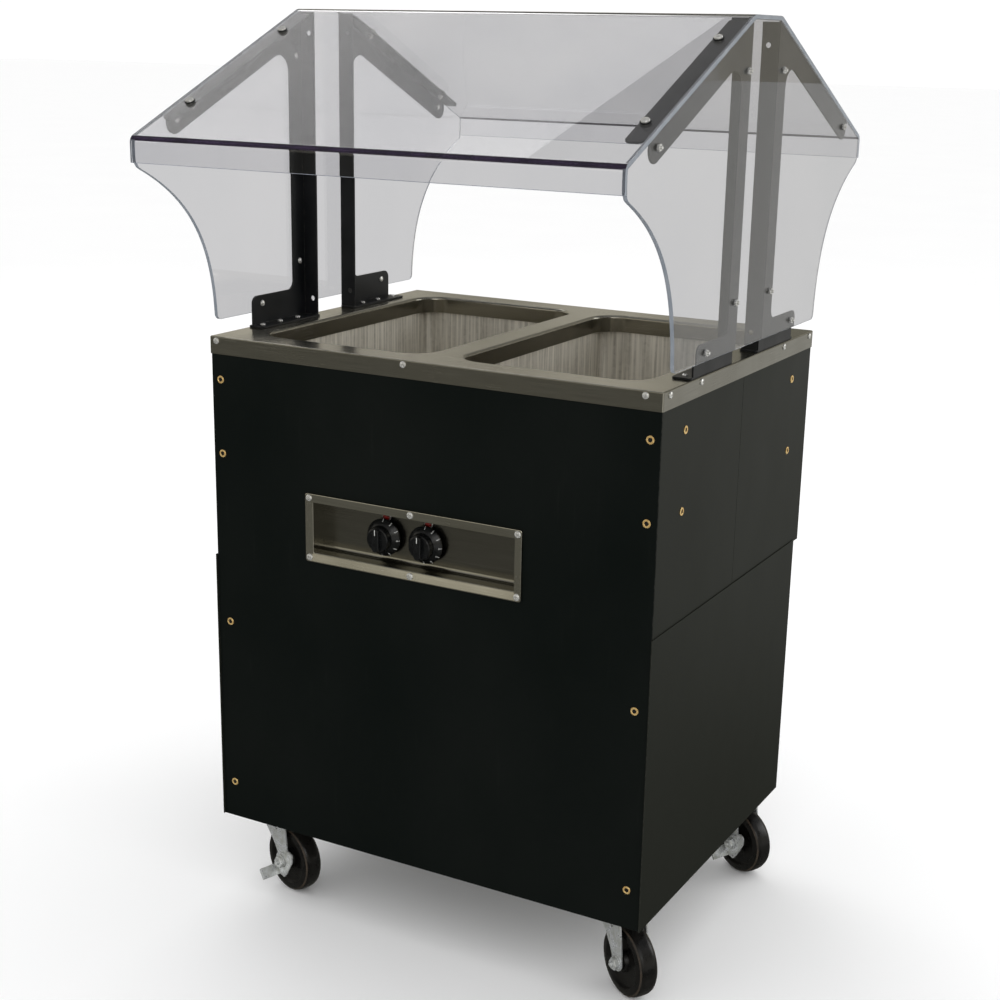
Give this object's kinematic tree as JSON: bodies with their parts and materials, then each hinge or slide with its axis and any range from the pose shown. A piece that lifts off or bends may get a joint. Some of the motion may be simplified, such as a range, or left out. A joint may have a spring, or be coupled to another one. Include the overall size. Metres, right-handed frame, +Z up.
{
  "type": "steam table",
  "caption": "Electric hot-food well table on swivel casters: a recessed control box with dial knobs, open wells in a steel top and a two-sided clear food guard on angle brackets.",
  "frame": {"origin": "on the floor under the middle of the worktop, which is also the middle of the bounding box's bottom", "axes": "+X to the right seen from the controls, +Y to the rear, +Z up"},
  "size_m": [0.8142, 0.93, 1.448],
  "materials": {
    "brushed_stainless": "brushed stainless sheet, No. 4 finish",
    "galvanised_liner": "galvanised sheet, dull and streaked",
    "galvanised_frame": "galvanised sheet",
    "heater_sheath": "oxidised alloy heater sheath",
    "black_sheet_front": "black pre-painted sheet, satin",
    "black_sheet_side": "black pre-painted sheet, satin, greyed by a sheen",
    "black_powder_coat": "black powder coat, fine texture",
    "clear_acrylic": "clear cast acrylic sheet, polished",
    "zinc_plate": "bright zinc plate",
    "caster_tread": "black moulded wheel, dull",
    "black_rubber": "black rubber jacket",
    "black_phenolic": "black phenolic moulding, half gloss",
    "switch_moulding": "dark thermoset moulding",
    "red_lens": "red translucent lens"
  },
  "bodies": {
    "chassis": {"worktop": "brushed_stainless", "well_liner_left": "galvanised_liner", "heating_element_left": "heater_sheath", "well_liner_right": "galvanised_liner", "heating_element_right": "heater_sheath", "front_panel": "black_sheet_front", "side_panel_left_upper_front": "black_sheet_side", "side_panel_left_upper_rear": "black_sheet_side", "side_panel_left_lower": "black_sheet_side", "side_panel_right_upper_front": "black_sheet_side", "side_panel_right_upper_rear": "black_sheet_side", "side_panel_right_lower": "black_sheet_side", "rear_upper_panel": "black_sheet_side", "rear_lower_panel": "black_sheet_side", "base_shelf": "galvanised_frame", "corner_post_front_left": "galvanised_frame", "corner_post_front_right": "galvanised_frame", "corner_post_rear_left": "galvanised_frame", "corner_post_rear_right": "galvanised_frame", "control_box": "brushed_stainless", "control_bezel": "brushed_stainless", "infinite_switch_left": "switch_moulding", "pilot_light_left": "red_lens", "infinite_switch_right": "switch_moulding", "pilot_light_right": "red_lens", "cord_grip": "black_phenolic", "power_cord": "black_rubber", "power_plug": "black_rubber", "cord_hook": "zinc_plate", "guard_bracket_front_left": "black_powder_coat", "guard_bracket_front_right": "black_powder_coat", "guard_bracket_rear_left": "black_powder_coat", "guard_bracket_rear_right": "black_powder_coat", "guard_canopy": "clear_acrylic", "guard_panel_left": "clear_acrylic", "guard_panel_right": "clear_acrylic", "caster_plate_front_left": "zinc_plate", "caster_plate_front_right": "zinc_plate", "caster_plate_rear_left": "zinc_plate", "caster_plate_rear_right": "zinc_plate"},
    "knob_left": {"knob_left": "black_phenolic", "switch_shaft_left": "zinc_plate"},
    "knob_right": {"knob_right": "black_phenolic", "switch_shaft_right": "zinc_plate"},
    "caster_swivel_front_left": {"caster_fork_front_left": "zinc_plate", "caster_axle_front_left": "zinc_plate"},
    "caster_swivel_front_right": {"caster_fork_front_right": "zinc_plate", "caster_axle_front_right": "zinc_plate"},
    "caster_swivel_rear_left": {"caster_fork_rear_left": "zinc_plate", "caster_axle_rear_left": "zinc_plate"},
    "caster_swivel_rear_right": {"caster_fork_rear_right": "zinc_plate", "caster_axle_rear_right": "zinc_plate"},
    "wheel_front_left": {"caster_wheel_front_left": "caster_tread"},
    "wheel_front_right": {"caster_wheel_front_right": "caster_tread"},
    "wheel_rear_left": {"caster_wheel_rear_left": "caster_tread"},
    "wheel_rear_right": {"caster_wheel_rear_right": "caster_tread"},
    "brake_front_left": {"brake_pedal_front_left": "zinc_plate"},
    "brake_rear_right": {"brake_pedal_rear_right": "zinc_plate"}
  },
  "joints": [
    {"name": "knob_left_turn", "type": "hinge", "parent": "chassis", "child": "knob_left", "pos_m": [-0.078, -0.2812, 0.671], "axis": [0, 1, 0], "range_deg": [0, 330]},
    {"name": "knob_right_turn", "type": "hinge", "parent": "chassis", "child": "knob_right", "pos_m": [-0.003, -0.2812, 0.671], "axis": [0, 1, 0], "range_deg": [0, 330]},
    {"name": "caster_front_left_swivel", "type": "hinge", "parent": "chassis", "child": "caster_swivel_front_left", "pos_m": [-0.32, -0.232, 0.138], "axis": [0, 0, 1], "continuous": true},
    {"name": "wheel_front_left_spin", "type": "hinge", "parent": "caster_swivel_front_left", "child": "wheel_front_left", "pos_m": [-0.28576, -0.24313, 0.057], "axis": [0.309, 0.9511, 0], "continuous": true},
    {"name": "brake_front_left_press", "type": "hinge", "parent": "caster_swivel_front_left", "child": "brake_front_left", "pos_m": [-0.28576, -0.24313, 0.057], "axis": [-0.309, -0.9511, 0], "range_deg": [0, 40]},
    {"name": "caster_front_right_swivel", "type": "hinge", "parent": "chassis", "child": "caster_swivel_front_right", "pos_m": [0.32, -0.232, 0.138], "axis": [0, 0, 1], "continuous": true},
    {"name": "wheel_front_right_spin", "type": "hinge", "parent": "caster_swivel_front_right", "child": "wheel_front_right", "pos_m": [0.35019, -0.25161, 0.057], "axis": [0.5446, 0.8387, 0], "continuous": true},
    {"name": "caster_rear_left_swivel", "type": "hinge", "parent": "chassis", "child": "caster_swivel_rear_left", "pos_m": [-0.32, 0.232, 0.138], "axis": [0, 0, 1], "continuous": true},
    {"name": "wheel_rear_left_spin", "type": "hinge", "parent": "caster_swivel_rear_left", "child": "wheel_rear_left", "pos_m": [-0.35236, 0.24778, 0.057], "axis": [-0.4384, -0.8988, 0], "continuous": true},
    {"name": "caster_rear_right_swivel", "type": "hinge", "parent": "chassis", "child": "caster_swivel_rear_right", "pos_m": [0.32, 0.232, 0.138], "axis": [0, 0, 1], "continuous": true},
    {"name": "wheel_rear_right_spin", "type": "hinge", "parent": "caster_swivel_rear_right", "child": "wheel_rear_right", "pos_m": [0.35236, 0.21622, 0.057], "axis": [0.4384, 0.8988, 0], "continuous": true},
    {"name": "brake_rear_right_press", "type": "hinge", "parent": "caster_swivel_rear_right", "child": "brake_rear_right", "pos_m": [0.35236, 0.21622, 0.057], "axis": [-0.4384, -0.8988, 0], "range_deg": [0, 40]}
  ]
}
